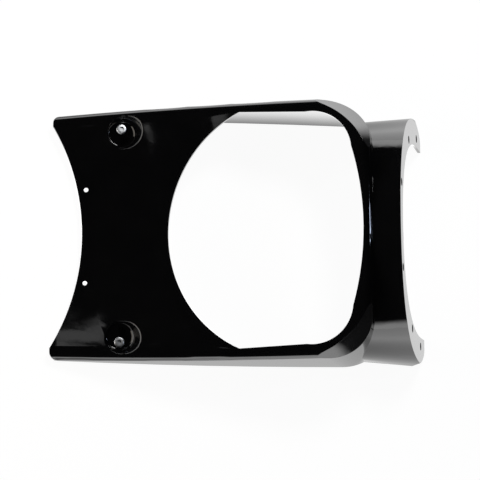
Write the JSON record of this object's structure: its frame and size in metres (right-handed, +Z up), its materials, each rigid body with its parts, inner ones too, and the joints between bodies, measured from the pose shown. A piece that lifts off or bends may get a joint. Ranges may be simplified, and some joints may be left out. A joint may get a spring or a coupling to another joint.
{
  "type": "front fairing panel",
  "caption": "Glossy moulded motorbike headlight fairing panel: scooped chin, D-shaped headlight opening, arched brow, drilled screen flange and sunk screw seats.",
  "frame": {"origin": "middle of the rear edge's plane, on which the panel lies, halfway along its length", "axes": "+X from the chin to the screen flange, +Y across, +Z up out of the front face, as the panel lies on its rear edge"},
  "size_m": [0.389, 0.2588, 0.1341],
  "materials": {
    "gloss_black_plastic": "injection moulded, gloss black",
    "zinc_plated_steel": "zinc plated, slightly dulled"
  },
  "bodies": {
    "root": {"fairing_panel": "gloss_black_plastic", "mounting_screws": "zinc_plated_steel"}
  },
  "joints": []
}
